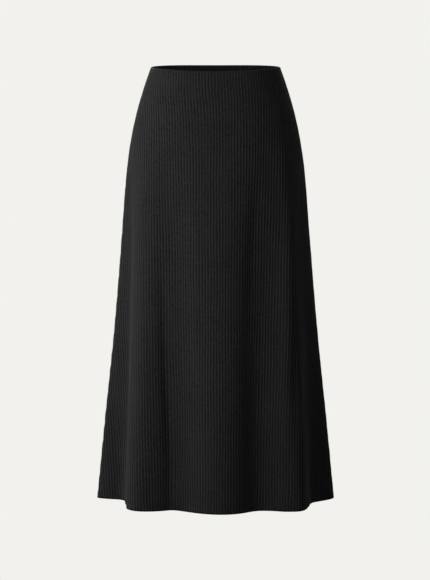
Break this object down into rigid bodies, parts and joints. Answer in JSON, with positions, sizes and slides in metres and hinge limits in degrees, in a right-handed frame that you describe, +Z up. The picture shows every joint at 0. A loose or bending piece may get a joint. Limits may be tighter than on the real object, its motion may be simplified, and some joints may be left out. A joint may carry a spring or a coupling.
{
  "type": "a-line midi skirt",
  "caption": "Hollow pull-on A-line midi skirt in fine vertical rib knit, filled out as if worn, with side seams, soft folds that open towards the hem and an open waist.",
  "frame": {"origin": "centre of the waist, where the wearer holds the skirt up, 20 mm below its top edge", "axes": "+Z up, from hem to waist; the front panel faces -Y; +X is the right side of the front as it is seen; the side seams lie in the plane Y = 0"},
  "size_m": [0.4502, 0.3038, 0.8177],
  "materials": {
    "rib_knit": "matt black fine rib knit with a faint soft sheen"
  },
  "bodies": {
    "root": {"front_panel": "rib_knit", "back_panel": "rib_knit"}
  },
  "joints": []
}
